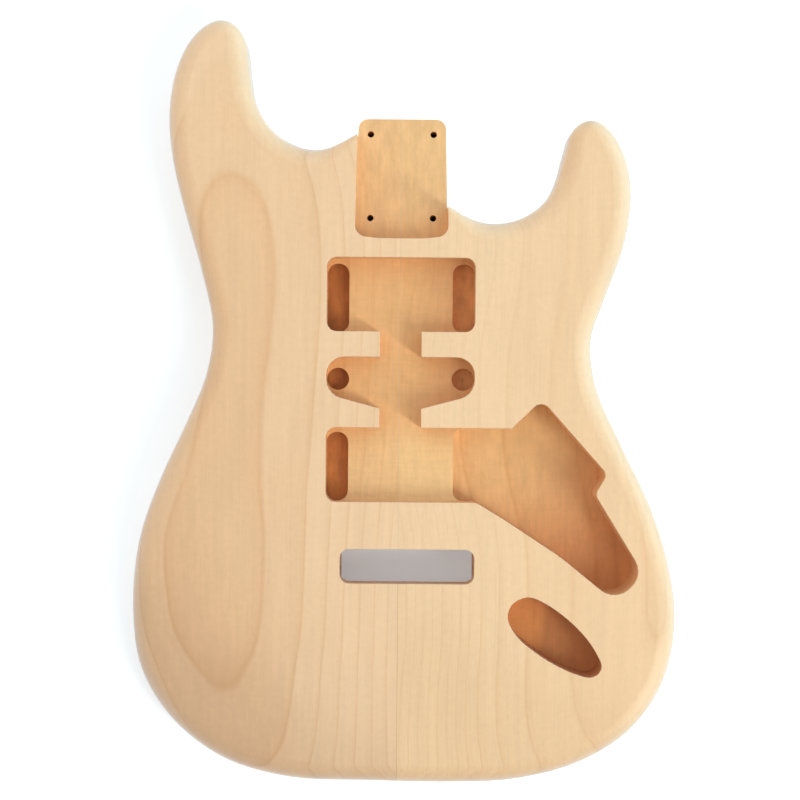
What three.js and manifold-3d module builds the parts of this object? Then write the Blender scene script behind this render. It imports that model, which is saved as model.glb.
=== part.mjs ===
// Bare electric guitar body: two solid boards glued edge to edge, then routed as one blank.
// Millimetres, +Z up out of the front face, +Y towards the neck, +X towards the treble side.
// The origin is the middle of the four neck-screw holes, on the back face.
import * as THREE from 'three';
import { mergeVertices } from 'three/addons/utils/BufferGeometryUtils.js';
import Module from 'manifold-3d';

const wasm = await Module();
wasm.setup();

// Overall body
const bodyWidth = 330;
const bodyLength = 459.5;
const bodyThickness = 45;

// Rounded rim
const edgeRound = 12;
const heelEdgeRound = 2;
const edgeFadeLength = 26;
const tightestRoundShare = 0.6;
const roundFadeShare = 0.3;
const roundWallShare = 0.48;
const roundSteps = 5;

// Glue seam, a little to the bass side of the centre line
const seamX = -0.6;
const glueThickness = 0.2;

// Neck pocket and heel
const pocketWidth = 56.4;
const pocketFrontWidth = 53.8;
const pocketEndY = -37.3;
const pocketEndBow = 1.5;
const pocketCornerRadius = 7;
const pocketDepth = 16;
const heelEndY = 34.6;
const heelCornerRadius = 6;
const heelInset = 0.3;
const bassJunctionY = 24;
const trebleJunctionY = -19;
const neckScrewSpacingX = 38.1;
const neckScrewSpacingY = 50.8;
const neckScrewHole = 4;

// Pickup routes
const routeHalfWidth = 44.6;
const routeDepth = 17;
const routeCornerRadius = 6;
const legDepth = 25;
const legWidth = 13.2;
const legRadius = 6.4;
const legStepDown = 3;
const neckRouteTopY = -50.2;
const neckRouteBottomY = -94.8;
const middleRouteTopY = -110;
const middleRouteSideY = -132.5;
const middleRouteBottomY = -141;
const middleEndRadius = 12.5;
const middleLowerRadius = 11.5;
const middleLegY = -123.2;
const middleLegRadius = 6.75;
const legPointRadius = 1.2;
const legPointDepth = 1.4;
const bridgeRouteTopY = -152.4;
const bridgeRouteBottomY = -197.2;
const channelHalfWidth = 12.5;

// Control cavity
const controlLeftX = 32.3;
const controlSideWall = 19;
const controlTailWall = 110.3;
const controlRise = 17.4;
const controlFloor = 7;
const controlCornerRadius = 6;
const controlElbowRadius = 5;
const controlEndRadius = 12.8;
const controlSweepRadius = 60;

// Jack cavity
const jackWidth = 56.6;
const jackLength = 47.8;
const jackSideWall = 45.2;
const jackTailWall = 64.8;
const jackFloor = 15;

// Bridge slot and the spring cavity behind it
const slotLeftX = -35.7;
const slotWidth = 80.8;
const slotTopY = -225.4;
const slotLength = 20.7;
const slotCornerRadius = 5.5;
const swingTopMargin = 4;
const swingTailMargin = 10;
const slotLedge = 18;
const springCavityWidth = 57;
const springCavityTopY = -118;
const springCavityDepth = 16;
const springCavityCornerRadius = 8;

// Bores for the wires
const jackBoreDiameter = 8;
const jackBoreClearance = 3;
const groundBoreDiameter = 3.6;

// Player contours: a roll that starts at a crease and runs out in a straight slope
const forearmRollRadius = 170;
const forearmSlope = 0.3;
const forearmBow = 4;
const tummyRollRadius = 62;
const tummySlope = 0.45;
const tummyBow = 88;

// Working values
const overrun = 5;
const rimSampleStep = 1;
const rimLongestStep = 10;
const rimTurnStep = THREE.MathUtils.degToRad(4.5);
const rimSmoothingPasses = 18;
const roundSmoothingPasses = 40;
const contourRows = 7;
const cornerTurnStep = THREE.MathUtils.degToRad(15);
const heelCornerSteps = 6;
const jackOutlineSteps = 72;
const boreSegments = 20;
const filletWallShare = 0.48;
const mergeTolerance = 0.0005;

// Rim from the bass side of the heel, round the long horn, both bouts and the short horn,
// to the treble side of the heel, as shares of the body's width and length
const rimShares = [
  [-0.112, 0.041], [-0.152, 0.0325], [-0.196, 0.038], [-0.2415, 0.0612], [-0.2705, 0.097],
  [-0.2803, 0.135], [-0.2865, 0.172], [-0.303, 0.194], [-0.331, 0.2024], [-0.3648, 0.194],
  [-0.392, 0.1735], [-0.416, 0.135], [-0.4275, 0.08], [-0.4205, 0.02], [-0.399, -0.045],
  [-0.366, -0.127], [-0.3445, -0.2], [-0.355, -0.262], [-0.39, -0.325], [-0.4405, -0.404],
  [-0.4795, -0.484], [-0.4925, -0.575], [-0.4775, -0.655], [-0.4185, -0.722], [-0.324, -0.771],
  [-0.205, -0.7928], [-0.05, -0.7963], [0.1, -0.7975], [0.215, -0.7928], [0.331, -0.7705],
  [0.4235, -0.7285], [0.4845, -0.665], [0.507, -0.585], [0.492, -0.503], [0.455, -0.425],
  [0.402, -0.347], [0.358, -0.275], [0.3485, -0.215], [0.3735, -0.16], [0.41, -0.085],
  [0.4205, -0.02], [0.4085, 0.028], [0.381, 0.0615], [0.345, 0.0745], [0.312, 0.0615],
  [0.2985, 0.035], [0.2845, -0.004], [0.262, -0.034], [0.215, -0.0572], [0.16, -0.0628],
  [0.122, -0.0558],
];

// Ends of the two creases, in the same shares
const forearmStartShare = [-0.409, -0.35];
const forearmEndShare = [-0.115, -0.796];
const tummyStartShare = [-0.414, 0];
const tummyEndShare = [-0.461, -0.446];

// Control cavity corners right of its step, as shares of its width, its rise and its fall
const controlShares = { neckX: 0.3, tipX: 0.4535, elbowX: 0.7955, elbowY: 0.262, notchX: 0.733,
  notchY: 0.379, endX: 0.99, endY: 0.845, heelX: 0.839, heelY: 1, sweepX: 0.5535, sweepY: 0.742,
  throatX: 0.256, throatY: 0.525, mouthX: 0.118 };

// Jack cavity outline, as shares of its width and length
const jackShares = [
  [0, 0.27], [0.034, 0.109], [0.127, 0.025], [0.233, 0], [0.36, 0.052], [0.6, 0.24],
  [0.82, 0.49], [0.95, 0.715], [0.998, 0.86], [0.965, 0.952], [0.875, 1], [0.716, 0.956],
  [0.504, 0.845], [0.292, 0.69], [0.1, 0.495],
];
const jackBoreShare = [0.55, 0.55];

// Widest treble point and tail of the rim, as shares of the width and length
const trebleSideShare = 0.507;
const tailShare = 0.797;
const trebleSideX = trebleSideShare * bodyWidth;
const tailY = -tailShare * bodyLength;

// Half width of the neck pocket at a height along the body; it narrows towards the neck
function pocketHalfWidthAt(y) {
  const t = (y - pocketEndY) / (heelEndY - pocketEndY);
  return THREE.MathUtils.lerp(pocketWidth, pocketFrontWidth, t) / 2;
}

function bodyPoint([xShare, yShare]) {
  return new THREE.Vector2(xShare * bodyWidth, yShare * bodyLength);
}

// Fine points along the curved part of the rim, smoothed so that its bends flow into each other
function curvedRim() {
  const start = new THREE.Vector2(heelInset - pocketHalfWidthAt(bassJunctionY), bassJunctionY);
  const end = new THREE.Vector2(pocketHalfWidthAt(trebleJunctionY) - heelInset, trebleJunctionY);
  const knots = [start, ...rimShares.map(bodyPoint), end];
  const curve = new THREE.CatmullRomCurve3(
    knots.map((p) => new THREE.Vector3(p.x, p.y, 0)), false, 'centripetal');
  const count = Math.round(curve.getLength() / rimSampleStep);
  curve.arcLengthDivisions = count;
  let points = curve.getSpacedPoints(count).map((p) => new THREE.Vector2(p.x, p.y));
  for (let pass = 0; pass < rimSmoothingPasses; pass += 1) {
    points = points.map((p, i) => {
      if (i === 0 || i === count) return p;
      return p.clone().multiplyScalar(2).add(points[i - 1]).add(points[i + 1]).divideScalar(4);
    });
  }
  return points;
}

// Rim radius at each fine point: small at the heel, full further on, less round tight horn tips
function rimRounds(points) {
  const last = points.length - 1;
  let rounds = points.map((p, i) => {
    const reach = Math.min(i, last - i) * rimSampleStep;
    const t = THREE.MathUtils.smoothstep(reach, 0, edgeFadeLength);
    return THREE.MathUtils.lerp(heelEdgeRound, edgeRound, t);
  });
  for (let i = 1; i < last; i += 1) {
    const before = points[i].clone().sub(points[i - 1]);
    const after = points[i + 1].clone().sub(points[i]);
    const turn = Math.atan2(before.cross(after), before.dot(after));
    if (turn <= 0) continue;
    const limit = tightestRoundShare * before.length() / turn;
    if (limit >= edgeRound) continue;
    const spread = Math.ceil((edgeRound - limit) / (roundFadeShare * rimSampleStep));
    const from = Math.max(0, i - spread);
    const to = Math.min(last, i + spread);
    for (let j = from; j <= to; j += 1) {
      const eased = limit + roundFadeShare * rimSampleStep * Math.abs(j - i);
      rounds[j] = Math.min(rounds[j], eased);
    }
  }
  for (let pass = 0; pass < roundSmoothingPasses; pass += 1) {
    rounds = rounds.map((round, i) => {
      if (i === 0 || i === last) return round;
      return (rounds[i - 1] + 2 * round + rounds[i + 1]) / 4;
    });
  }
  return rounds;
}

// Keeps a fine point where the rim has turned, or run, far enough since the last one kept
function thinnedRim() {
  const points = curvedRim();
  const rounds = rimRounds(points);
  const kept = [{ point: points[0], round: rounds[0] }];
  let turned = 0;
  let run = 0;
  for (let i = 1; i < points.length - 1; i += 1) {
    const before = points[i].clone().sub(points[i - 1]);
    const after = points[i + 1].clone().sub(points[i]);
    turned += Math.abs(Math.atan2(before.cross(after), before.dot(after)));
    run += before.length();
    if (turned < rimTurnStep && run < rimLongestStep) continue;
    kept.push({ point: points[i], round: rounds[i] });
    turned = 0;
    run = 0;
  }
  kept.push({ point: points.at(-1), round: rounds.at(-1) });
  return kept;
}

// Neck end of the heel, from the treble junction over its two round corners to the bass one
function heelRim() {
  const halfWidth = pocketHalfWidthAt(heelEndY) - heelInset;
  const cornerX = halfWidth - heelCornerRadius;
  const cornerY = heelEndY - heelCornerRadius;
  const points = [];
  for (let i = 0; i <= heelCornerSteps; i += 1) {
    const angle = (i / heelCornerSteps) * (Math.PI / 2);
    points.push(new THREE.Vector2(
      cornerX + heelCornerRadius * Math.cos(angle), cornerY + heelCornerRadius * Math.sin(angle)));
  }
  const mirrored = points.map((p) => new THREE.Vector2(-p.x, p.y)).reverse();
  return [...points, ...mirrored].map((point) => ({ point, round: heelEdgeRound }));
}

// Whole rim, anticlockwise, each point with the direction into the wood and its edge radius,
// which is never more than the wood there has room for on both faces
function bodyRim() {
  const rim = [...thinnedRim(), ...heelRim()];
  return rim.map(({ point, round: fullRound }, i) => {
    const wall = bodyThickness - forearm.drop(point) - tummy.drop(point);
    const round = Math.min(fullRound, roundWallShare * wall);
    const before = point.clone().sub(rim.at(i - 1).point).normalize();
    const after = rim[(i + 1) % rim.length].point.clone().sub(point).normalize();
    const along = before.clone().add(after).normalize();
    const widen = 1 / along.dot(after);
    const inward = new THREE.Vector2(-along.y, along.x).multiplyScalar(widen);
    return { point, round, inward };
  });
}

// A crease across one face; beyond it the face rolls away towards the rim
function makeContour(startShare, endShare, bow, rollRadius, slope) {
  const start = bodyPoint(startShare);
  const chord = bodyPoint(endShare).sub(start);
  const along = chord.clone().normalize();
  const inward = new THREE.Vector2(-along.y, along.x);
  const frameOf = (p) => {
    const offset = p.clone().sub(start);
    const run = offset.dot(along) / chord.length();
    const creaseHeight = 4 * bow * run * (1 - run);
    return { run, creaseHeight, reach: creaseHeight - offset.dot(inward) };
  };
  const drop = (p) => {
    const { reach } = frameOf(p);
    if (reach <= 0) return 0;
    const rolled = Math.min(reach, rollRadius * slope);
    return rolled * rolled / (2 * rollRadius) + (reach - rolled) * slope;
  };
  const foot = (p) => {
    const { run, creaseHeight } = frameOf(p);
    return start.clone().addScaledVector(chord, run).addScaledVector(inward, creaseHeight);
  };
  return { drop, foot, touches: (p) => frameOf(p).reach > 0 };
}

const forearm = makeContour(forearmStartShare, forearmEndShare, forearmBow, forearmRollRadius, forearmSlope);
const tummy = makeContour(tummyStartShare, tummyEndShare, tummyBow, tummyRollRadius, tummySlope);

// Collects the triangles of the blank and turns them into one closed geometry
class SkinBuilder {
  constructor() {
    this.positions = [];
    this.triangles = [];
  }

  point(p, z) {
    this.positions.push(p.x, p.y, z);
    return this.positions.length / 3 - 1;
  }

  triangle(a, b, c) {
    if (a !== b && b !== c && c !== a) this.triangles.push(a, b, c);
  }

  // A strip between two rows of points of one length, open or closed
  strip(lower, upper, closed) {
    const count = closed ? lower.length : lower.length - 1;
    for (let i = 0; i < count; i += 1) {
      const j = (i + 1) % lower.length;
      this.triangle(lower[i], lower[j], upper[j]);
      this.triangle(lower[i], upper[j], upper[i]);
    }
  }

  geometry() {
    const geometry = new THREE.BufferGeometry();
    geometry.setAttribute('position', new THREE.Float32BufferAttribute(this.positions, 3));
    geometry.setIndex(this.triangles);
    return geometry;
  }
}

// One face of the blank inside its rounded edge: a flat field, and rows of points that roll
// down from the crease to the rim. sign is 1 for the front face and -1 for the back.
function addFace(skin, ring, ringIndex, contour, flatHeight, sign) {
  const field = [];
  const fieldIndex = [];
  const columns = ring.map((p, i) => {
    if (!contour.touches(p)) {
      field.push(p);
      fieldIndex.push(ringIndex[i]);
      return Array(contourRows + 1).fill(ringIndex[i]);
    }
    const foot = contour.foot(p);
    field.push(foot);
    fieldIndex.push(skin.point(foot, flatHeight));
    const column = [fieldIndex.at(-1)];
    for (let row = 1; row < contourRows; row += 1) {
      const q = foot.clone().lerp(p, row / contourRows);
      column.push(skin.point(q, flatHeight - sign * contour.drop(q)));
    }
    column.push(ringIndex[i]);
    return column;
  });
  columns.forEach((column, i) => {
    const next = columns[(i + 1) % columns.length];
    if (!contour.touches(ring[i]) && !contour.touches(ring[(i + 1) % ring.length])) return;
    if (sign > 0) skin.strip(column, next, false);
    else skin.strip(next, column, false);
  });
  for (const [a, b, c] of THREE.ShapeUtils.triangulateShape(field, [])) {
    if (sign > 0) skin.triangle(fieldIndex[a], fieldIndex[b], fieldIndex[c]);
    else skin.triangle(fieldIndex[a], fieldIndex[c], fieldIndex[b]);
  }
}

// The solid blank, before any routing: rings of points climb the rounded back edge, the
// straight side and the rounded front edge
function bodyBlank() {
  const skin = new SkinBuilder();
  const rim = bodyRim();
  const ringAt = (share) => rim.map(({ point, round, inward }) => (
    point.clone().addScaledVector(inward, round * share)));
  const rings = [];
  for (let step = 0; step <= roundSteps; step += 1) {
    const angle = (step / roundSteps) * (Math.PI / 2);
    const ring = ringAt(1 - Math.sin(angle));
    rings.push(ring.map((p, i) => skin.point(p, rim[i].round * (1 - Math.cos(angle)) + tummy.drop(p))));
  }
  for (let step = 0; step <= roundSteps; step += 1) {
    const angle = (step / roundSteps) * (Math.PI / 2);
    const ring = ringAt(1 - Math.cos(angle));
    rings.push(ring.map((p, i) => (
      skin.point(p, bodyThickness - rim[i].round * (1 - Math.sin(angle)) - forearm.drop(p)))));
  }
  for (let i = 1; i < rings.length; i += 1) skin.strip(rings[i - 1], rings[i], true);
  addFace(skin, ringAt(1), rings[0], tummy, 0, -1);
  addFace(skin, ringAt(1), rings.at(-1), forearm, bodyThickness, 1);
  return toSolid(skin.geometry());
}

function toSolid(geometry) {
  geometry.deleteAttribute('normal');
  geometry.deleteAttribute('uv');
  const merged = mergeVertices(geometry, mergeTolerance);
  return new wasm.Manifold(new wasm.Mesh({
    numProp: 3,
    vertProperties: merged.getAttribute('position').array,
    triVerts: Uint32Array.from(merged.getIndex().array),
  }));
}

// An outline of straight sides, each corner rounded to its own radius as far as its sides allow;
// a corner with no radius stays sharp
function filletedShape(corners) {
  const points = corners.map(([x, y]) => new THREE.Vector2(x, y));
  const outline = points.flatMap((corner, i) => {
    const fullRadius = corners[i][2];
    if (!fullRadius) return [corner];
    const toLast = points.at(i - 1).clone().sub(corner);
    const toNext = points[(i + 1) % points.length].clone().sub(corner);
    const room = filletWallShare * Math.min(toLast.length(), toNext.length());
    toLast.normalize();
    toNext.normalize();
    const halfAngle = Math.acos(THREE.MathUtils.clamp(toLast.dot(toNext), -1, 1)) / 2;
    const setBack = Math.min(fullRadius / Math.tan(halfAngle), room);
    const radius = setBack * Math.tan(halfAngle);
    const middle = toLast.clone().add(toNext).normalize();
    const centre = corner.clone().addScaledVector(middle, radius / Math.sin(halfAngle));
    const spoke = corner.clone().addScaledVector(toLast, setBack).sub(centre);
    const turn = Math.sign(toNext.cross(toLast)) * (Math.PI - 2 * halfAngle);
    const steps = Math.max(1, Math.round(Math.abs(turn) / cornerTurnStep));
    return Array.from({ length: steps + 1 }, (unused, step) => (
      spoke.clone().rotateAround(new THREE.Vector2(), turn * step / steps).add(centre)));
  });
  return new THREE.Shape(outline);
}

function roundedBox(left, right, bottom, top, radius) {
  return filletedShape([[left, bottom, radius], [right, bottom, radius], [right, top, radius],
    [left, top, radius]]);
}

function circleShape(x, y, radius) {
  const shape = new THREE.Shape();
  shape.absarc(x, y, radius, 0, 2 * Math.PI, false);
  return shape;
}

function prism(shape, bottom, top) {
  const geometry = new THREE.ExtrudeGeometry(shape, {
    depth: top - bottom, bevelEnabled: false, curveSegments: boreSegments / 2 });
  geometry.translate(0, 0, bottom);
  return toSolid(geometry);
}

function fromFront(shape, depth) {
  return prism(shape, bodyThickness - depth, bodyThickness + overrun);
}

function fromBack(shape, depth) {
  return prism(shape, -overrun, depth);
}

// A round bore between two points
function boreBetween(from, to, diameter) {
  const along = to.clone().sub(from);
  const geometry = new THREE.CylinderGeometry(diameter / 2, diameter / 2, along.length(), boreSegments);
  const up = new THREE.Vector3(0, 1, 0);
  geometry.applyQuaternion(new THREE.Quaternion().setFromUnitVectors(up, along.clone().normalize()));
  const middle = from.clone().lerp(to, 0.5);
  geometry.translate(middle.x, middle.y, middle.z);
  return toSolid(geometry);
}

// The neck's pocket, open towards the neck, with a gently bowed end
function neckPocket() {
  const endHalf = pocketHalfWidthAt(pocketEndY);
  const openY = heelEndY + overrun;
  const openHalf = pocketHalfWidthAt(openY);
  const bowRadius = (endHalf * endHalf + pocketEndBow * pocketEndBow) / (2 * pocketEndBow);
  const shape = filletedShape([
    [-openHalf, openY, 0],
    [-endHalf, pocketEndY, pocketCornerRadius],
    [0, pocketEndY - 2 * pocketEndBow, bowRadius],
    [endHalf, pocketEndY, pocketCornerRadius],
    [openHalf, openY, 0],
  ]);
  return fromFront(shape, pocketDepth);
}

function neckScrewHoles() {
  const holes = [];
  for (const x of [-neckScrewSpacingX / 2, neckScrewSpacingX / 2]) {
    for (const y of [-neckScrewSpacingY / 2, neckScrewSpacingY / 2]) {
      const shape = circleShape(x, y, neckScrewHole / 2);
      holes.push(prism(shape, -overrun, bodyThickness + overrun));
    }
  }
  return holes;
}

// A deeper leg at one end of a pickup route; side is -1 on the bass side and 1 on the treble
function legSlot(side, topY, bottomY) {
  const outer = side * routeHalfWidth;
  const inner = side * (routeHalfWidth - legWidth);
  const shape = roundedBox(Math.min(outer, inner), Math.max(outer, inner), bottomY,
    topY - legStepDown, legRadius);
  return fromFront(shape, legDepth);
}

function neckRoute() {
  const shape = roundedBox(-routeHalfWidth, routeHalfWidth, neckRouteBottomY, neckRouteTopY,
    routeCornerRadius);
  return [
    fromFront(shape, routeDepth),
    legSlot(-1, neckRouteTopY, neckRouteBottomY),
    legSlot(1, neckRouteTopY, neckRouteBottomY),
  ];
}

// Middle route with two drilled leg holes, each with the mark of the drill's point
function middleRoute() {
  const half = routeHalfWidth;
  const shape = filletedShape([
    [-half, middleRouteTopY, middleEndRadius],
    [-half, middleRouteSideY, middleLowerRadius],
    [-channelHalfWidth, middleRouteBottomY, 0],
    [channelHalfWidth, middleRouteBottomY, 0],
    [half, middleRouteSideY, middleLowerRadius],
    [half, middleRouteTopY, middleEndRadius],
  ]);
  const solids = [fromFront(shape, routeDepth)];
  for (const side of [-1, 1]) {
    const x = side * (half - middleLegRadius);
    const floor = bodyThickness - legDepth;
    solids.push(fromFront(circleShape(x, middleLegY, middleLegRadius), legDepth));
    const mark = new THREE.ConeGeometry(legPointRadius, 2 * legPointDepth, boreSegments / 2);
    mark.rotateX(-Math.PI / 2);
    mark.translate(x, middleLegY, floor);
    solids.push(toSolid(mark));
  }
  return solids;
}

function bridgeRoute() {
  const shape = roundedBox(-routeHalfWidth, routeHalfWidth, bridgeRouteBottomY, bridgeRouteTopY,
    routeCornerRadius);
  return [
    fromFront(shape, routeDepth),
    legSlot(-1, bridgeRouteTopY, bridgeRouteBottomY),
  ];
}

// One wire channel links the three routes along the middle of the body
function wireChannel() {
  const top = neckRouteBottomY + routeCornerRadius;
  const bottom = bridgeRouteTopY - routeCornerRadius;
  return fromFront(roundedBox(-channelHalfWidth, channelHalfWidth, bottom, top, 0), routeDepth);
}

function controlX(share) {
  return THREE.MathUtils.lerp(controlLeftX, trebleSideX - controlSideWall, share);
}

function controlY(share) {
  return THREE.MathUtils.lerp(bridgeRouteTopY, tailY + controlTailWall, share);
}

function controlCavity() {
  const s = controlShares;
  const x = controlX;
  const y = controlY;
  const shape = filletedShape([
    [controlLeftX, bridgeRouteTopY, controlCornerRadius],
    [controlLeftX, bridgeRouteBottomY, controlCornerRadius],
    [x(s.mouthX), bridgeRouteBottomY, controlElbowRadius],
    [x(s.throatX), y(s.throatY), controlSweepRadius],
    [x(s.sweepX), y(s.sweepY), controlSweepRadius],
    [x(s.heelX), y(s.heelY), controlEndRadius],
    [x(s.endX), y(s.endY), controlEndRadius],
    [x(s.notchX), y(s.notchY), controlElbowRadius],
    [x(s.elbowX), y(s.elbowY), controlElbowRadius],
    [x(s.tipX), bridgeRouteTopY + controlRise, controlCornerRadius],
    [x(s.neckX), bridgeRouteTopY, 0],
  ]);
  return fromFront(shape, bodyThickness - controlFloor);
}

function jackPoint([xShare, yShare]) {
  const x = trebleSideX - jackSideWall - (1 - xShare) * jackWidth;
  const y = tailY + jackTailWall + (1 - yShare) * jackLength;
  return new THREE.Vector3(x, y, 0);
}

function jackCavity() {
  const curve = new THREE.CatmullRomCurve3(jackShares.map(jackPoint), true, 'centripetal');
  const outline = curve.getSpacedPoints(jackOutlineSteps).slice(1);
  const shape = new THREE.Shape(outline.map((p) => new THREE.Vector2(p.x, p.y)));
  return fromFront(shape, bodyThickness - jackFloor);
}

// A slot right through, wider at the back, where the spring block swings
function bridgeSlot() {
  const right = slotLeftX + slotWidth;
  const bottom = slotTopY - slotLength;
  const slot = roundedBox(slotLeftX, right, bottom, slotTopY, slotCornerRadius);
  const swing = roundedBox(slotLeftX, right, bottom - swingTailMargin, slotTopY + swingTopMargin,
    slotCornerRadius);
  return [prism(slot, -overrun, bodyThickness + overrun), fromBack(swing, bodyThickness - slotLedge)];
}

// Spring cavity in the back, from the swing space up towards the neck
function springCavity() {
  const half = springCavityWidth / 2;
  const shape = roundedBox(-half, half, slotTopY - slotLength / 2, springCavityTopY,
    springCavityCornerRadius);
  return fromBack(shape, springCavityDepth);
}

// One bore takes the jack's wires to the controls, and one takes the ground wire to the springs
function wireBores() {
  const jackBoreZ = jackFloor + jackBoreClearance + jackBoreDiameter / 2;
  const jackEnd = jackPoint(jackBoreShare).setZ(jackBoreZ);
  const controlEnd = new THREE.Vector3(controlX(controlShares.heelX), controlY(controlShares.endY),
    jackBoreZ);
  const groundY = (bridgeRouteTopY + bridgeRouteBottomY) / 2;
  const groundZ = (controlFloor + springCavityDepth) / 2;
  const groundFrom = new THREE.Vector3(springCavityWidth / 2 - overrun, groundY, groundZ);
  const groundTo = new THREE.Vector3(controlLeftX + overrun, groundY, groundZ);
  return [
    boreBetween(jackEnd, controlEnd, jackBoreDiameter),
    boreBetween(groundFrom, groundTo, groundBoreDiameter),
  ];
}

function routedBody() {
  const cutters = [
    neckPocket(), ...neckScrewHoles(), ...neckRoute(), ...middleRoute(), ...bridgeRoute(),
    wireChannel(), controlCavity(), jackCavity(), ...bridgeSlot(), springCavity(), ...wireBores(),
  ];
  return cutters.reduce((solid, cutter) => solid.subtract(cutter), bodyBlank());
}

// A plain block that keeps one stretch of the body
function keepBlock(left, right, bottom, top) {
  const geometry = new THREE.BoxGeometry(right - left, top - bottom, bodyThickness + 2 * overrun);
  geometry.translate((left + right) / 2, (bottom + top) / 2, bodyThickness / 2);
  return toSolid(geometry);
}

const woodBass = { color: 0xeccba1, roughness: 0.62, metalness: 0 };
const woodTreble = { color: 0xf0d2a6, roughness: 0.62, metalness: 0 };
const hardGlue = { color: 0xa5794c, roughness: 0.45, metalness: 0 };

function namedMesh(name, solid, finish) {
  const mesh = solid.getMesh();
  const geometry = new THREE.BufferGeometry();
  geometry.setAttribute('position', new THREE.BufferAttribute(mesh.vertProperties, mesh.numProp));
  geometry.setIndex(new THREE.BufferAttribute(mesh.triVerts, 1));
  geometry.computeVertexNormals();
  const piece = new THREE.Mesh(geometry, new THREE.MeshStandardMaterial(finish));
  piece.name = name;
  return piece;
}

// The routed blank, taken apart again at its glue seam
function buildBody() {
  const body = routedBody();
  const far = bodyLength + bodyWidth;
  const glueLeft = seamX - glueThickness / 2;
  const glueRight = seamX + glueThickness / 2;
  const slotMiddle = slotTopY - slotLength / 2;
  const piece = (left, right, bottom, top) => body.intersect(keepBlock(left, right, bottom, top));
  const group = new THREE.Group();
  group.add(
    namedMesh('bass_side_board', piece(-far, glueLeft, -far, far), woodBass),
    namedMesh('treble_side_board', piece(glueRight, far, -far, far), woodTreble),
    namedMesh('glue_line_neck_side', piece(glueLeft, glueRight, slotMiddle, far), hardGlue),
    namedMesh('glue_line_tail_side', piece(glueLeft, glueRight, -far, slotMiddle), hardGlue),
  );
  return group;
}

export default buildBody();
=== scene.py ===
import math
import bmesh
import bpy
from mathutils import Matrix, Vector


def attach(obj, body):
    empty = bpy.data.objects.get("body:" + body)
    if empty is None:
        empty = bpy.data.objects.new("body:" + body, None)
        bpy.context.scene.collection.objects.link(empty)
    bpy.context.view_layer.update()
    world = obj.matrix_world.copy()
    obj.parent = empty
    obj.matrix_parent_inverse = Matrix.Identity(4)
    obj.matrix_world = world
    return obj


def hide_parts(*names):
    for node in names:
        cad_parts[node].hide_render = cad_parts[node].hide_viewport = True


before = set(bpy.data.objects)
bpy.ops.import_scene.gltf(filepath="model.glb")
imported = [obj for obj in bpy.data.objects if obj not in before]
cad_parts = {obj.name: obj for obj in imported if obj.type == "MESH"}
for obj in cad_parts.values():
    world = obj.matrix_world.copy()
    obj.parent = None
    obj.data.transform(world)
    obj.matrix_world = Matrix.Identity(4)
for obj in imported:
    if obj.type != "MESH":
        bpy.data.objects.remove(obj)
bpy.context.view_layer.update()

mm = 0.001
print("frame loaded:", ", ".join(sorted(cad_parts)))


# Camera

cameraSettings = {
    "aim": (-0.15 * mm, -135.8 * mm),      # point of the body at the middle of the picture
    "height": 1295 * mm,                   # 1250 above the front face
    "lens": 93.83,
    "sensor": 36,
    "clip": (0.05, 20),
    "turn": math.radians(0.45),            # the body lies very slightly clockwise
}


def makeCamera(s):
    data = bpy.data.cameras.new("viewCamera")
    data.lens = s["lens"]
    data.sensor_width = s["sensor"]
    data.clip_start, data.clip_end = s["clip"]
    camera = bpy.data.objects.new("viewCamera", data)
    camera.location = (*s["aim"], s["height"])
    camera.rotation_euler = (0, 0, s["turn"])
    bpy.context.scene.collection.objects.link(camera)
    bpy.context.scene.camera = camera


makeCamera(cameraSettings)


# Node helpers

def addNode(tree, kind, inputs=None, **settings):
    made = tree.nodes.new(kind)
    for name, value in settings.items():
        setattr(made, name, value)
    for name, value in (inputs or {}).items():
        feed(tree, made.inputs[name], value)
    return made


def feed(tree, socket, value):
    if isinstance(value, bpy.types.NodeSocket):
        tree.links.new(value, socket)
    else:
        socket.default_value = value


def calc(tree, operation, *values, clamp=False):
    made = addNode(tree, "ShaderNodeMath", dict(enumerate(values)), operation=operation)
    made.use_clamp = clamp
    return made.outputs[0]


def vectorCalc(tree, operation, first, second):
    return addNode(tree, "ShaderNodeVectorMath", {0: first, 1: second}, operation=operation).outputs[0]


def mixColour(tree, factor, first, second, blend="MIX"):
    made = addNode(tree, "ShaderNodeMix", data_type="RGBA", blend_type=blend)
    for slot, value in ((0, factor), (6, first), (7, second)):
        feed(tree, made.inputs[slot], value)
    return made.outputs[2]


def scaleColour(tree, colour, factor):
    made = addNode(tree, "ShaderNodeVectorMath", {0: colour}, operation="SCALE")
    feed(tree, made.inputs[3], factor)
    return made.outputs[0]


# Noise in cells of the given size in mm across, along and through the body
def grainNoise(tree, place, cell, detail, rough, shift=(0, 0, 0)):
    scaled = vectorCalc(tree, "DIVIDE", place, cell)
    moved = vectorCalc(tree, "ADD", scaled, shift)
    noise = addNode(tree, "ShaderNodeTexNoise", {"Vector": moved, "Scale": 1.0, "Detail": detail,
                                                "Roughness": rough}, noise_dimensions="3D")
    return noise.outputs[0]


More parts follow.
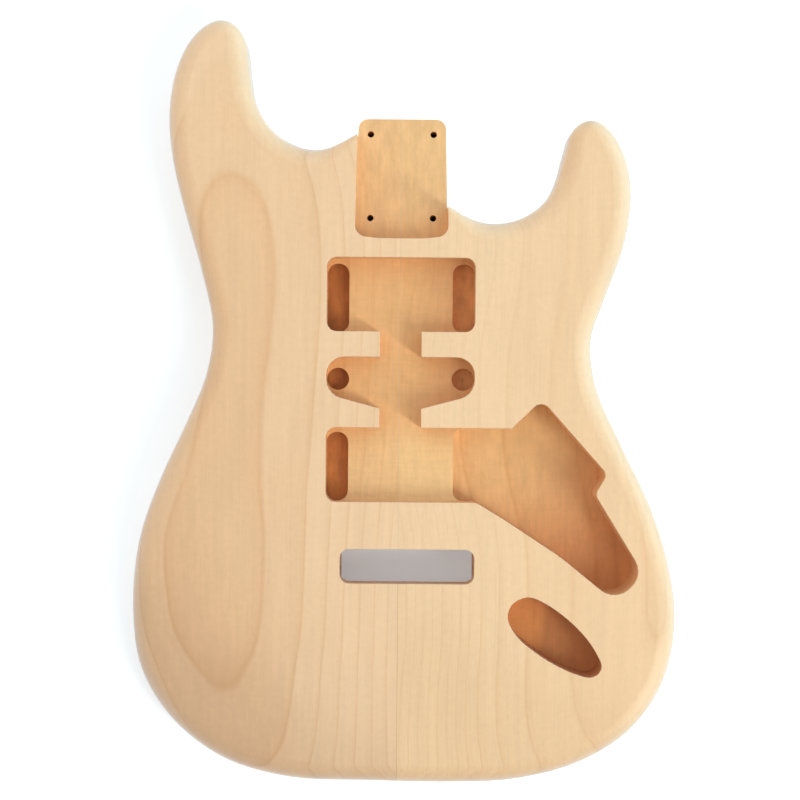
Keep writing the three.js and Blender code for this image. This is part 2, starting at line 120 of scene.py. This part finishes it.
# A smooth or straight curve through (input, output) pairs, in their own units
def curveThrough(tree, value, pairs, straight=False):
    low, high = min(p[0] for p in pairs), max(p[0] for p in pairs)
    floor, top = min(p[1] for p in pairs), max(p[1] for p in pairs)
    share = addNode(tree, "ShaderNodeMapRange", {0: value, 1: low, 2: high, 3: 0.0, 4: 1.0}).outputs[0]
    made = addNode(tree, "ShaderNodeFloatCurve", {"Factor": 1.0, "Value": share})
    line = made.mapping.curves[0]
    ordered = sorted(((x - low) / (high - low), (y - floor) / (top - floor)) for x, y in pairs)
    while len(line.points) < len(ordered):
        line.points.new(0.5, 0.5)
    for point, spot in zip(line.points, ordered):
        point.location = spot
        point.handle_type = "VECTOR" if straight else "AUTO"
    made.mapping.update()
    return addNode(tree, "ShaderNodeMapRange", {0: made.outputs[0], 1: 0.0, 2: 1.0,
                                                3: floor, 4: top}).outputs[0]


def ramp(tree, value, stops):
    made = addNode(tree, "ShaderNodeValToRGB", {0: value})
    marks = made.color_ramp.elements
    while len(marks) < len(stops):
        marks.new(0.5)
    for mark, (spot, grey) in zip(marks, stops):
        mark.position = spot
        mark.color = (grey, grey, grey, 1)
    return made.outputs[0]


thickness = 45.0                           # of the body, in mm

# Wood of the two boards. Lengths in mm. The heart of the tree runs along the board: heartAcross and
# heartDeep give its place at the few heights along the body where it bends, and lean tilts the rings
# with depth below the front face. Outside the steady radius each year is outerWidth thick. The first
# year inside it is innerWidth thick, and each one further in innerGrowth times its neighbour.
# ringStrength says how plain the lines are. The neck and tail tints are painted light and painted shade
# along the board, turned by the lean about the pivot.
bassWood = {
    "board": "Bass",
    "heartAcross": [(130, -130), (0, -102), (-150, -103), (-250, -114), (-300, -111), (-360, -92)],
    "heartDeep": [(130, 301), (40, 298), (-40, 294.5), (-170, 294.7), (-240, 293.6), (-300, 295),
                  (-360, 299.5)],
    "lean": -1.0,
    "wave": 0.3,
    "ringSpan": (280, 330),
    "steady": 302,
    "outerWidth": 2.7,
    "innerWidth": 3,
    "innerGrowth": 1.2,
    "ringStrength": [(-356, 0.9), (-40, 0.8), (22, 0.7), (44, 0.02), (130, 0)],
    "base": (0.862, 0.590, 0.345),
    "rosy": (0.815, 0.520, 0.280),
    "rosyAt": [(280, 1), (295.3, 1), (295.5, 0.55), (298.9, 0.5), (299.1, 0.2), (302, 0.1), (330, 0)],
    "lateTint": (0.905, 0.815, 0.73),
    "neckPaintedLight": (1.10, 1.09, 1.08),
    "tailPaintedShade": (0.82, 0.78, 0.76),
    "paintedShadeLean": 0.65,
    "paintedShadePivot": -80,
    "seed": 3.0,
}
trebleWood = {
    "board": "Treble",
    "heartAcross": [(130, 154), (-40, 151), (-140, 141), (-250, 155), (-310, 150), (-360, 131)],
    "heartDeep": [(130, 10), (-260, 10), (-310, 27), (-360, 63)],
    "lean": 0.7,
    "wave": 1.0,
    "ringSpan": (0, 180),
    "steady": 113,
    "outerWidth": 5.4,
    "innerWidth": 7,
    "innerGrowth": 1.55,
    "ringStrength": [(-356, 0.95), (-250, 0.85), (-150, 0.5), (130, 0.4)],
    "base": (0.888, 0.618, 0.362),
    "rosy": (0.86, 0.575, 0.325),
    "rosyAt": [(0, 0.7), (50, 0.6), (77, 0.35), (95, 0), (180, 0)],
    "lateTint": (0.925, 0.86, 0.79),
    "neckPaintedLight": (1.06, 1.045, 1.02),
    "tailPaintedShade": (0.94, 0.90, 0.84),
    "paintedShadeLean": 0.7,
    "paintedShadePivot": 80,
    "seed": 11.0,
}
# How far the painted shading has gone from the darker tail tint to the lighter neck tint at a place along
# the board
paintedShadeAlong = [(-352, 0), (-316, 0.2), (-262, 0.6), (-190, 0.76), (-46, 0.9), (44, 1), (130, 1)]

# How the cut surfaces differ from the sanded ones. Their floor and wall colours darken and redden the
# wood, partly the cut wood's own scorched tone and partly painted shade and bounced light in the holes.
# The floor has its tail colour towards the tail, from the first to the second of fadeFrom, along a line
# turned towards the treble side by fadeLean: painted light and shade, darker where the walls' shadows
# fall. A painted shade darkens its neck part across the body.
cutLooks = {
    "Routed": {"floor": (0.97, 0.83, 0.61), "tailFloorPaintedShading": (1.01, 0.94, 0.75), "fadeFrom": (-140, -165),
               "fadeLean": 0, "wall": (0.93, 0.80, 0.66), "rings": 0.7, "markPitch": 1.7, "marks": 0.11,
               "mottle": 0.12},
    # RoutedShady: painted shade on the treble half of the neck and middle routes
    "RoutedShady": {"floor": (0.955, 0.795, 0.57), "tailFloorPaintedShading": (1.01, 0.95, 0.76),
                    "fadeFrom": (-140, -165), "fadeLean": 0, "wall": (0.93, 0.80, 0.66), "rings": 0.7,
                    "markPitch": 1.7, "marks": 0.11, "mottle": 0.12, "shade": (0.86, 0.81, 0.83),
                    "shadeAcross": (-4, 34)},
    # Pocket: painted shade at its tail end, under the end wall
    "Pocket": {"floor": (0.94, 0.82, 0.63), "tailFloorPaintedShading": (0.90, 0.77, 0.59), "fadeFrom": (10, -30),
               "fadeLean": 0, "wall": (0.93, 0.80, 0.66), "rings": 0.4, "markPitch": 1.7, "marks": 0.03,
               "mottle": 0.4},
    # Leg holes: their dark floors and walls are painted shade, heavier in the bass legs
    "BassLegsPaintedShade": {"floor": (0.62, 0.34, 0.14), "tailFloorPaintedShading": (0.73, 0.41, 0.18), "fadeFrom": (-130, -160),
                 "fadeLean": 0, "wall": (0.64, 0.39, 0.24), "rings": 1.0, "markPitch": 1.3, "marks": 0.08,
                 "mottle": 0.8},
    "TrebleLegsPaintedShade": {"floor": (0.87, 0.59, 0.35), "tailFloorPaintedShading": (0.89, 0.66, 0.44), "fadeFrom": (-100, -112),
                 "fadeLean": 0, "wall": (0.75, 0.48, 0.30), "rings": 1.0, "markPitch": 1.3, "marks": 0.08,
                 "mottle": 0.8},
    # Jack: a painted shadow edge on its floor, lit at the left end and shaded at the right
    "Jack": {"floor": (0.98, 0.66, 0.36), "tailFloorPaintedShading": (0.77, 0.49, 0.295), "fadeFrom": (-615, -640),
             "fadeLean": -4, "wall": (0.72, 0.46, 0.30), "rings": 1.0, "markPitch": 1.3, "marks": 0.08,
             "mottle": 0.2},
    # Control: painted light on the left of its floor, painted shade towards its lower right end
    "Control": {"floor": (1.04, 1.05, 0.86), "tailFloorPaintedShading": (0.83, 0.58, 0.395), "fadeFrom": (-195, -290),
                "fadeLean": -0.6, "wall": (0.93, 0.78, 0.62), "rings": 2.4, "markPitch": 1.7, "marks": 0.06,
                "mottle": 0.26},
}


# Fine figure of the wood: the size of its cells in mm across, along and through the body, the detail and
# roughness of its noise, and how much it changes the tone
figure = {
    "wave": {"cell": (26, 70, 26), "detail": 2.0, "rough": 0.5},        # waviness of the rings
    "band": {"cell": (1.1, 160, 120), "detail": 3.0, "rough": 0.6, "tone": 0.09},
    "streak": {"cell": (0.8, 28, 0.8), "detail": 2.0, "rough": 0.6, "tone": 0.08},
    "strand": {"cell": (3.2, 110, 3.2), "detail": 2.0, "rough": 0.5, "tone": 0.11},
    "blotch": {"cell": (34, 60, 34), "detail": 2.0, "rough": 0.5},      # where the wood is rosier
    "cloud": {"cell": (15, 42, 15), "detail": 1.0, "rough": 0.5, "tone": 0.08},
    "curl": {"cell": (4.5, 3.5, 4.5), "detail": 1.0, "rough": 0.5, "tone": 0.08},
    "pores": {"cell": (0.32, 3.4, 0.32), "detail": 0.0, "rough": 0.5, "tone": -0.035},
    "fuzz": {"cell": (0.35, 1.1, 0.35), "detail": 1.0, "rough": 0.5, "tone": 0.05},
}
# How dark the wood is over a year, from 0 at its start to 1 at its end, and what fades or tints it
yearLook = {
    "lateAt": [(0.0, 0.8), (0.05, 0.12), (0.1, 0.0), (0.5, 0.05), (0.82, 0.15), (0.95, 0.45), (1.0, 1.0)],
    "unlike": 0.4,                         # how much darker one year's line may be than another's
    "clouded": [(0.3, 0.6), (0.7, 0.9)],
    "blotchAt": [(0.38, 0.0), (0.66, 1.0)],
    "blotchRosy": 0.3,
    "poresAt": [(0.66, 0.0), (0.76, 1.0)],
    "endGrainTone": -0.08,
}
# Shine and fine relief of the surface
surface = {
    "sandedRough": 0.36,
    "cutRough": 0.5,
    "streakRough": 0.12,
    "streakHeight": 0.5,
    "poreHeight": -0.35,
    "fuzzHeight": 0.35,
    "relief": 0.55,
    "reliefDepth": 0.12 * mm,
    "shine": 0.35,
    "sandedSheen": 1.0,
    "cutSheen": 0.05,
    "sheenRough": 0.45,
}
# Marks of the turning cutter: the size of its lines and of the mottle's cells in mm, and their height
cutter = {
    "lineLength": 13,
    "lineReach": 60,
    "levelPitch": 0.9,
    "mottle": (5, 14, 5),
    "markHeight": 0.8,
}


def figureNoise(tree, place, kind, shift):
    look = figure[kind]
    return grainNoise(tree, place, look["cell"], look["detail"], look["rough"], shift)


# Distance from the heart of the tree, with the waviness that real rings have
def heartDistance(tree, place, wood):
    parts = addNode(tree, "ShaderNodeSeparateXYZ", {0: place}).outputs
    depth = calc(tree, "SUBTRACT", thickness, parts[2])
    across = calc(tree, "SUBTRACT", parts[0], curveThrough(tree, parts[1], wood["heartAcross"]))
    across = calc(tree, "MULTIPLY_ADD", depth, wood["lean"], across)
    deep = curveThrough(tree, parts[1], wood["heartDeep"])
    squares = calc(tree, "MULTIPLY_ADD", across, across, calc(tree, "MULTIPLY", deep, deep))
    plain = calc(tree, "SQRT", squares)
    wave = figureNoise(tree, place, "wave", (wood["seed"], 0, 0))
    return calc(tree, "MULTIPLY_ADD", calc(tree, "SUBTRACT", wave, 0.5), wood["wave"], plain), parts


# Radii at which a year ends, from the one nearest to the heart outwards
def ringRadii(wood):
    nearest, furthest = wood["ringSpan"]
    radii = [wood["steady"]]
    width = wood["innerWidth"]
    while radii[0] - width > nearest:
        radii.insert(0, radii[0] - width)
        width *= wood["innerGrowth"]
    radii.insert(0, nearest)
    while radii[-1] < furthest:
        radii.append(radii[-1] + wood["outerWidth"])
    return radii


# Ring number and how far the year has grown, 0 at its start and 1 at its end
def ringPhase(tree, distance, wood):
    pairs = [(radius, year) for year, radius in enumerate(ringRadii(wood))]
    number = curveThrough(tree, distance, pairs, straight=True)
    return calc(tree, "FLOOR", number), calc(tree, "FRACT", number)


def makeWood(name, wood, cutLook=None):
    material = bpy.data.materials.new(name)
    material.use_nodes = True
    tree = material.node_tree
    tree.nodes.clear()
    seed = wood["seed"]
    coords = addNode(tree, "ShaderNodeTexCoord").outputs
    place = scaleColour(tree, coords["Object"], 1 / mm)
    facing = addNode(tree, "ShaderNodeSeparateXYZ", {0: coords["Normal"]}).outputs
    distance, parts = heartDistance(tree, place, wood)
    year, phase = ringPhase(tree, distance, wood)

    grain = addNode(tree, "ShaderNodeCombineXYZ", {0: distance, 1: parts[1], 2: parts[2]}).outputs[0]
    band = figureNoise(tree, grain, "band", (seed, 2, 0))
    streak = figureNoise(tree, place, "streak", (0, seed, 0))
    strand = figureNoise(tree, place, "strand", (seed, seed, 0))
    blotch = figureNoise(tree, place, "blotch", (0, 0, seed))
    cloud = figureNoise(tree, place, "cloud", (7, 0, seed))
    curl = figureNoise(tree, place, "curl", (seed, 7, 0))
    pores = figureNoise(tree, place, "pores", (seed, 5, 5))
    fuzz = figureNoise(tree, place, "fuzz", (5, seed, 5))

    # Colour: rosy near the heart, pale outside, with darker latewood at the end of each year, and painted
    # shade towards the tail and lower left with painted light towards the neck
    rosy = curveThrough(tree, distance, wood["rosyAt"], straight=True)
    blotches = ramp(tree, blotch, yearLook["blotchAt"])
    rosy = calc(tree, "MULTIPLY_ADD", blotches, yearLook["blotchRosy"], rosy, clamp=True)
    colour = mixColour(tree, rosy, (*wood["base"], 1), (*wood["rosy"], 1))
    # Painted light and shade along the board
    offside = calc(tree, "SUBTRACT", parts[0], wood["paintedShadePivot"])
    along = curveThrough(tree, calc(tree, "MULTIPLY_ADD", offside, wood["paintedShadeLean"], parts[1]), paintedShadeAlong)
    tint = mixColour(tree, along, (*wood["tailPaintedShade"], 1), (*wood["neckPaintedLight"], 1))
    colour = mixColour(tree, 1.0, colour, tint, "MULTIPLY")
    late = ramp(tree, phase, yearLook["lateAt"])
    yearly = addNode(tree, "ShaderNodeTexWhiteNoise", {"W": calc(tree, "ADD", year, seed)},
                     noise_dimensions="1D").outputs[0]
    clouds = ramp(tree, cloud, yearLook["clouded"])
    fading = calc(tree, "MULTIPLY_ADD", yearly, yearLook["unlike"], clouds)
    strength = calc(tree, "MULTIPLY", curveThrough(tree, parts[1], wood["ringStrength"], straight=True),
                    cutLook["rings"] if cutLook else 1.0)
    late = calc(tree, "MULTIPLY", calc(tree, "MULTIPLY", late, fading), strength)
    colour = mixColour(tree, late, colour, (*wood["lateTint"], 1), "MULTIPLY")
    tone = 1.0
    for kind, value in (("band", band), ("streak", streak), ("strand", strand), ("cloud", cloud),
                        ("curl", curl), ("fuzz", fuzz)):
        tone = calc(tree, "MULTIPLY_ADD", calc(tree, "SUBTRACT", value, 0.5), figure[kind]["tone"], tone)
    poreDark = ramp(tree, pores, yearLook["poresAt"])
    tone = calc(tree, "MULTIPLY_ADD", poreDark, figure["pores"]["tone"], tone)
    endGrain = calc(tree, "POWER", calc(tree, "ABSOLUTE", facing[1]), 2.0)
    tone = calc(tree, "MULTIPLY_ADD", endGrain, yearLook["endGrainTone"], tone)
    colour = scaleColour(tree, colour, tone)

    height = calc(tree, "MULTIPLY", pores, surface["poreHeight"])
    height = calc(tree, "MULTIPLY_ADD", streak, surface["streakHeight"], height)
    height = calc(tree, "MULTIPLY_ADD", fuzz, surface["fuzzHeight"], height)
    plainRough = surface["cutRough" if cutLook else "sandedRough"]
    rough = calc(tree, "MULTIPLY_ADD", streak, surface["streakRough"], plainRough)
    if cutLook:
        height, colour = addCutterMarks(tree, place, parts, facing, height, colour, cutLook)
    bump = addNode(tree, "ShaderNodeBump", {"Strength": surface["relief"],
                                            "Distance": surface["reliefDepth"], "Height": height})
    shader = addNode(tree, "ShaderNodeBsdfPrincipled", {"Base Color": colour, "Roughness": rough,
                                                        "Normal": bump.outputs[0]})
    shader.inputs["Specular IOR Level"].default_value = surface["shine"]
    shader.inputs["Sheen Weight"].default_value = surface["cutSheen" if cutLook else "sandedSheen"]
    shader.inputs["Sheen Roughness"].default_value = surface["sheenRough"]
    output = addNode(tree, "ShaderNodeOutputMaterial", {0: shader.outputs[0]})
    output.target = "ALL"
    return material


# Short crossing lines on floors, level lines on walls, a mottle of scorched and clean wood, and the
# floor and wall colours with their painted light and shade
def addCutterMarks(tree, place, parts, facing, height, colour, look):
    pitch = look["markPitch"]
    length, reach = cutter["lineLength"], cutter["lineReach"]
    acrossLines = grainNoise(tree, place, (pitch, length, reach), 1.0, 0.5, (3, 1, 2))
    alongLines = grainNoise(tree, place, (length, pitch, reach), 1.0, 0.5, (1, 4, 2))
    levelLines = grainNoise(tree, place, (reach, reach, cutter["levelPitch"]), 1.0, 0.5, (1, 1, 5))
    weave = calc(tree, "ADD", acrossLines, alongLines)
    flat = calc(tree, "ABSOLUTE", facing[2])
    marks = calc(tree, "MULTIPLY", calc(tree, "SUBTRACT", weave, 1.0), flat)
    steep = calc(tree, "SUBTRACT", 1.0, flat)
    wallMarks = calc(tree, "MULTIPLY", calc(tree, "SUBTRACT", levelLines, 0.5), steep)
    marks = calc(tree, "ADD", marks, wallMarks)
    mottle = grainNoise(tree, place, cutter["mottle"], 3.0, 0.6, (2, 8, 1))
    tone = calc(tree, "MULTIPLY_ADD", marks, look["marks"], 1.0)
    tone = calc(tree, "MULTIPLY_ADD", calc(tree, "SUBTRACT", mottle, 0.5), look["mottle"], tone)
    upright = calc(tree, "SUBTRACT", 1.0, calc(tree, "POWER", flat, 2.0))
    # Painted light and shade: the floor fades to its tail colour along the look's line
    start, end = look["fadeFrom"]
    along = calc(tree, "MULTIPLY_ADD", parts[0], look["fadeLean"], parts[1])
    fade = addNode(tree, "ShaderNodeMapRange", {0: along, 1: start, 2: end}).outputs[0]
    floor = mixColour(tree, fade, (*look["floor"], 1), (*look["tailFloorPaintedShading"], 1))
    # Painted shade over the neck part of the floor, across the body
    if "shade" in look:
        near, far = look["shadeAcross"]
        shady = addNode(tree, "ShaderNodeMapRange", {0: parts[0], 1: near, 2: far}).outputs[0]
        shady = calc(tree, "MULTIPLY", shady, calc(tree, "SUBTRACT", 1.0, fade))
        floor = mixColour(tree, shady, floor, (*look["shade"], 1), "MULTIPLY")
    tint = mixColour(tree, upright, floor, (*look["wall"], 1))
    tinted = mixColour(tree, 1.0, colour, tint, "MULTIPLY")
    return calc(tree, "MULTIPLY_ADD", marks, cutter["markHeight"], height), scaleColour(tree, tinted, tone)


# Hardened glue: the film near the neck is thin and pale, the one near the tail is dark
glueLooks = {
    "NeckSide": {"body": (0.62, 0.42, 0.24), "pale": (0.78, 0.58, 0.38)},
    "TailSide": {"body": (0.38, 0.22, 0.10), "pale": (0.56, 0.35, 0.18)},
}
glueSurface = {
    "cloud": (2, 9, 2),                    # cells in mm
    "grit": (0.3, 0.5, 0.3),
    "rough": 0.35,
    "gritRough": 0.2,
    "relief": 0.4,
    "reliefDepth": 0.05 * mm,
}


def makeGlue(side):
    look = glueLooks[side]
    material = bpy.data.materials.new("hardGlue" + side)
    material.use_nodes = True
    tree = material.node_tree
    shader = tree.nodes["Principled BSDF"]
    place = scaleColour(tree, addNode(tree, "ShaderNodeTexCoord").outputs["Object"], 1 / mm)
    cloud = grainNoise(tree, place, glueSurface["cloud"], 3.0, 0.6)
    grit = grainNoise(tree, place, glueSurface["grit"], 2.0, 0.6)
    colour = mixColour(tree, cloud, (*look["body"], 1), (*look["pale"], 1))
    bump = addNode(tree, "ShaderNodeBump", {"Strength": glueSurface["relief"],
                                            "Distance": glueSurface["reliefDepth"], "Height": grit})
    rough = calc(tree, "MULTIPLY_ADD", grit, glueSurface["gritRough"], glueSurface["rough"])
    feed(tree, shader.inputs["Base Color"], colour)
    feed(tree, shader.inputs["Normal"], bump.outputs[0])
    feed(tree, shader.inputs["Roughness"], rough)
    return material


def makeFinishes(wood, cuts):
    name = "bareWood" + wood["board"]
    made = {"Sanded": makeWood(name + "Sanded", wood)}
    for cut in cuts:
        made[cut] = makeWood(name + cut, wood, cutLooks[cut])
    return made


finishes = {
    "bass": makeFinishes(bassWood, ["Routed", "Pocket", "BassLegsPaintedShade"]),
    "treble": makeFinishes(trebleWood, ["RoutedShady", "Pocket", "TrebleLegsPaintedShade", "Jack", "Control"]),
    "neckGlue": {"Film": makeGlue("NeckSide")},
    "tailGlue": {"Film": makeGlue("TailSide")},
}
print("materials made:", ", ".join(m.name for group in finishes.values() for m in group.values()))


# Pieces

edges = {
    "eased": 0.35 * mm,                    # routed edges taken off with fine paper
    "steps": 2,
    "hard": math.radians(40),              # from this angle on, an edge shows as one
    "seam": -0.6 * mm,                     # where the boards meet
    "seamReach": 0.2 * mm,
    "weld": 0.002 * mm,
    "flat": math.radians(0.05),
    "level": 0.999,                        # how squarely a face has to face one way to count as doing so
    "levelFront": 0.9999,
    "frontReach": 0.01 * mm,
}


def onSeam(face):
    away = abs(face.calc_center_median().x - edges["seam"])
    return abs(face.normal.x) > edges["level"] and away < edges["seamReach"]


# Boxes, in mm, of the cuts that don't look like the pickup routes, and how far outside one still counts
zoneMargin = 0.1
cutZones = [
    ("BassLegsPaintedShade", (-46, -200, 19), (-30, -50, 27.5)),    # bass legs of the three pickup routes
    ("TrebleLegsPaintedShade", (30, -136, 19), (46, -50, 27.5)),      # treble legs
    ("Jack", (60, -306, 14), (125, -254, 44.9)),        # jack cavity
    ("Control", (31, -245, 6), (140, -145, 26)),        # deep floor and walls of the control cavity
    ("Pocket", (-30, -40, 28.5), (30, 50, 44.9)),       # neck pocket
]


# A cut face's place in the list of finishes; the first cut finish is the usual one
def finishNumber(face, names):
    spot = face.calc_center_median() / mm
    for name, low, high in cutZones:
        inside = all(low[i] - zoneMargin < spot[i] < high[i] + zoneMargin for i in range(3))
        if name in names and inside:
            return names.index(name)
    return 1


# A node's mesh with its flat faces joined up
def joinedMesh(node):
    bm = bmesh.new()
    bm.from_mesh(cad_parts[node].data)
    bmesh.ops.remove_doubles(bm, verts=bm.verts, dist=edges["weld"])
    bmesh.ops.dissolve_limit(bm, angle_limit=edges["flat"], verts=bm.verts, edges=bm.edges)
    bm.normal_update()
    return bm


# Faces that flow smoothly into the front face were sanded; the rest were cut
def sandedFaces(bm):
    top = max(v.co.z for v in bm.verts)
    waiting = [f for f in bm.faces if f.normal.z > edges["level"]
               and abs(f.calc_center_median().z - top) < edges["frontReach"]]
    found = set(waiting)
    while waiting:
        for edge in waiting.pop().edges:
            for other in edge.link_faces:
                if other not in found and edge.calc_face_angle(math.pi) < edges["hard"]:
                    found.add(other)
                    waiting.append(other)
    return found


# Shallow rings that the drill's end left on the floors of the two middle legs
turnedFloors = {"spots": [(-37.8, -123.2), (37.9, -123.2)], "reach": 6.2, "depth": (19, 21.5),
                "steps": [(0.7, 0.0), (0.35, -0.3), (0.7, 0.0), (0.35, 0.25), (0.5, 0.0), (0.3, -0.25)]}


def addTurnedFloors(bm, s):
    for spot in s["spots"]:
        flat = [f for f in bm.faces if f.normal.z > edges["level"]
                and s["depth"][0] < f.calc_center_median().z / mm < s["depth"][1]
                and all((Vector(spot) - v.co.xy / mm).length < s["reach"] for v in f.verts)]
        for width, drop in s["steps"] if flat else []:
            bmesh.ops.inset_region(bm, faces=flat, thickness=width * mm, depth=drop * mm,
                                   use_boundary=True, use_even_offset=True)


# The hard edges between a flat sanded face and a cut one, but not on the seam or the rounded rim
def easeEdges(bm):
    def isFlatSanded(face):
        return face.material_index == 0 and abs(face.normal.z) > edges["levelFront"]

    sharp = [e for e in bm.edges if len(e.link_faces) == 2 and e.calc_face_angle_signed() > edges["hard"]
             and any(isFlatSanded(f) for f in e.link_faces) and any(f.material_index for f in e.link_faces)
             and not any(onSeam(f) for f in e.link_faces)]
    bmesh.ops.bevel(bm, geom=sharp, offset=edges["eased"], offset_type="OFFSET", segments=edges["steps"],
                    profile=0.5, affect="EDGES", clamp_overlap=False)


def makePiece(name, node, looks):
    bm = joinedMesh(node)
    if len(looks) > 1:
        sanded = sandedFaces(bm)
        for face in bm.faces:
            face.material_index = 0 if face in sanded else finishNumber(face, list(looks))
        easeEdges(bm)
        addTurnedFloors(bm, turnedFloors)
    bm.normal_update()
    for face in bm.faces:
        face.smooth = True
    for edge in bm.edges:
        edge.smooth = edge.calc_face_angle(math.pi) < edges["hard"]
    mesh = bpy.data.meshes.new(name)
    bm.to_mesh(mesh)
    bm.free()
    for look in looks.values():
        mesh.materials.append(look)
    piece = bpy.data.objects.new(name, mesh)
    bpy.context.scene.collection.objects.link(piece)
    piece.modifiers.new("evenShading", "WEIGHTED_NORMAL").keep_sharp = True
    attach(piece, "root")
    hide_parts(node)
    print(name, "has", len(mesh.polygons), "faces")
    return piece


makePiece("bassBoard", "bass_side_board", finishes["bass"])
makePiece("trebleBoard", "treble_side_board", finishes["treble"])
makePiece("glueFilmNeckSide", "glue_line_neck_side", finishes["neckGlue"])
makePiece("glueFilmTailSide", "glue_line_tail_side", finishes["tailGlue"])


# Floor and light

studio = {
    "floorSize": 8.0,
    "floorColour": (0.74, 0.79, 0.82, 1),
    "floorRough": 0.9,
    "floorGlowAndPaintedLight": [(-130, 0.43), (-70, 0.66)],      # places across in mm, and how much the floor glows there; the rise to the right is painted light over the body's shadow
    "floorPaintedShade": [((-24, -32, 24, 33), 0.0),      # painted shade seen through the holes and slot: left, tail, right and neck side in mm, the same
                   ((-60, -260, 70, -215), 0.26)],
    "aim": (0.0, -0.137, 0.03),
    "lightDistance": 3.2,
    "keyBearing": (0.83, -0.556),          # towards the light, seen from above
    "keyRise": math.radians(38),
    "keySize": (0.48, 3.0),                # a narrow upright softbox
    "keyPower": 54,
    "keyColour": (1.0, 0.975, 0.94),
    "fillWarm": (0.615, 0.56, 0.48),       # the fill's colour from the lower left
    "fillCool": (0.475, 0.60, 0.75),       # and from the upper right
    "coolTowards": (0.36, 0.34, 0),
    "fillLean": (-0.50, 0.75, 0.30),       # more of it comes from the upper left, and from above
    "rimBearing": (0.95, 0.25),            # a weak cool panel low on the right
    "rimRise": math.radians(8),
    "rimSize": (2.6, 1.2),
    "rimPower": 56,
    "rimColour": (0.30, 0.75, 1.0),
}


# 1 where the camera sees a surface straight, mirrored or through glass
def seenMask(tree):
    rays = addNode(tree, "ShaderNodeLightPath").outputs
    mask = calc(tree, "MAXIMUM", rays["Is Camera Ray"], rays["Is Glossy Ray"])
    return calc(tree, "MAXIMUM", mask, rays["Is Transmission Ray"])


def between(tree, value, low, high):
    above = calc(tree, "GREATER_THAN", value, low)
    return calc(tree, "MULTIPLY", above, calc(tree, "LESS_THAN", value, high))


# A pale floor that the camera sees a little lighter, more on the right as painted light over the body's
# shadow, and less through the body's holes and slot as painted shade
def makeFloor(s):
    half = s["floorSize"] / 2
    mesh = bpy.data.meshes.new("floor")
    corners = [(-half, -half, 0), (half, -half, 0), (half, half, 0), (-half, half, 0)]
    mesh.from_pydata(corners, [], [(0, 1, 2, 3)])
    floor = bpy.data.objects.new("floor", mesh)
    bpy.context.scene.collection.objects.link(floor)
    material = bpy.data.materials.new("paleFloor")
    material.use_nodes = True
    tree = material.node_tree
    shader = tree.nodes["Principled BSDF"]
    shader.inputs["Base Color"].default_value = s["floorColour"]
    shader.inputs["Roughness"].default_value = s["floorRough"]
    shader.inputs["Specular IOR Level"].default_value = 0.0
    shader.inputs["Emission Color"].default_value = (1, 1, 1, 1)
    place = addNode(tree, "ShaderNodeTexCoord").outputs["Object"]
    spot = addNode(tree, "ShaderNodeSeparateXYZ", {0: place}).outputs
    (start, low), (end, high) = s["floorGlowAndPaintedLight"]
    lift = addNode(tree, "ShaderNodeMapRange", {0: spot[0], 1: start * mm, 2: end * mm, 3: low, 4: high},
                   interpolation_type="SMOOTHSTEP").outputs[0]
    for (left, tail, right, neck), level in s["floorPaintedShade"]:
        inside = calc(tree, "MULTIPLY", between(tree, spot[0], left * mm, right * mm),
                      between(tree, spot[1], tail * mm, neck * mm))
        change = calc(tree, "SUBTRACT", level, lift)
        lift = calc(tree, "MULTIPLY_ADD", inside, change, lift)
    feed(tree, shader.inputs["Emission Strength"], calc(tree, "MULTIPLY", seenMask(tree), lift))
    mesh.materials.append(material)


def makePanel(name, s):
    data = bpy.data.lights.new(name + "Light", "AREA")
    data.shape = "RECTANGLE"
    data.size, data.size_y = s[name + "Size"]
    data.energy = s[name + "Power"]
    data.color = s[name + "Colour"]
    panel = bpy.data.objects.new(name + "Light", data)
    bearing = Vector((*s[name + "Bearing"], 0)).normalized()
    towards = bearing * math.cos(s[name + "Rise"]) + Vector((0, 0, math.sin(s[name + "Rise"])))
    panel.location = Vector(s["aim"]) + towards * s["lightDistance"]
    panel.rotation_euler = towards.to_track_quat("Z", "Y").to_euler()
    bpy.context.scene.collection.objects.link(panel)


def makeFill(s):
    world = bpy.data.worlds.new("studio")
    bpy.context.scene.world = world
    world.use_nodes = True
    tree = world.node_tree
    shade = tree.nodes["Background"]
    direction = addNode(tree, "ShaderNodeTexCoord").outputs["Generated"]
    lean, coolness = [addNode(tree, "ShaderNodeVectorMath", {0: direction, 1: s[key]},
                              operation="DOT_PRODUCT").outputs["Value"]
                      for key in ("fillLean", "coolTowards")]
    tint = mixColour(tree, calc(tree, "ADD", coolness, 0.5), (*s["fillWarm"], 1), (*s["fillCool"], 1))
    fill = scaleColour(tree, tint, calc(tree, "ADD", lean, 1.0))
    feed(tree, shade.inputs["Color"], mixColour(tree, seenMask(tree), fill, (1, 1, 1, 1)))
    shade.inputs["Strength"].default_value = 1.0


makeFloor(studio)
makePanel("key", studio)
makePanel("rim", studio)
makeFill(studio)
bpy.context.scene.view_settings.view_transform = "Standard"
print("floor and light made")
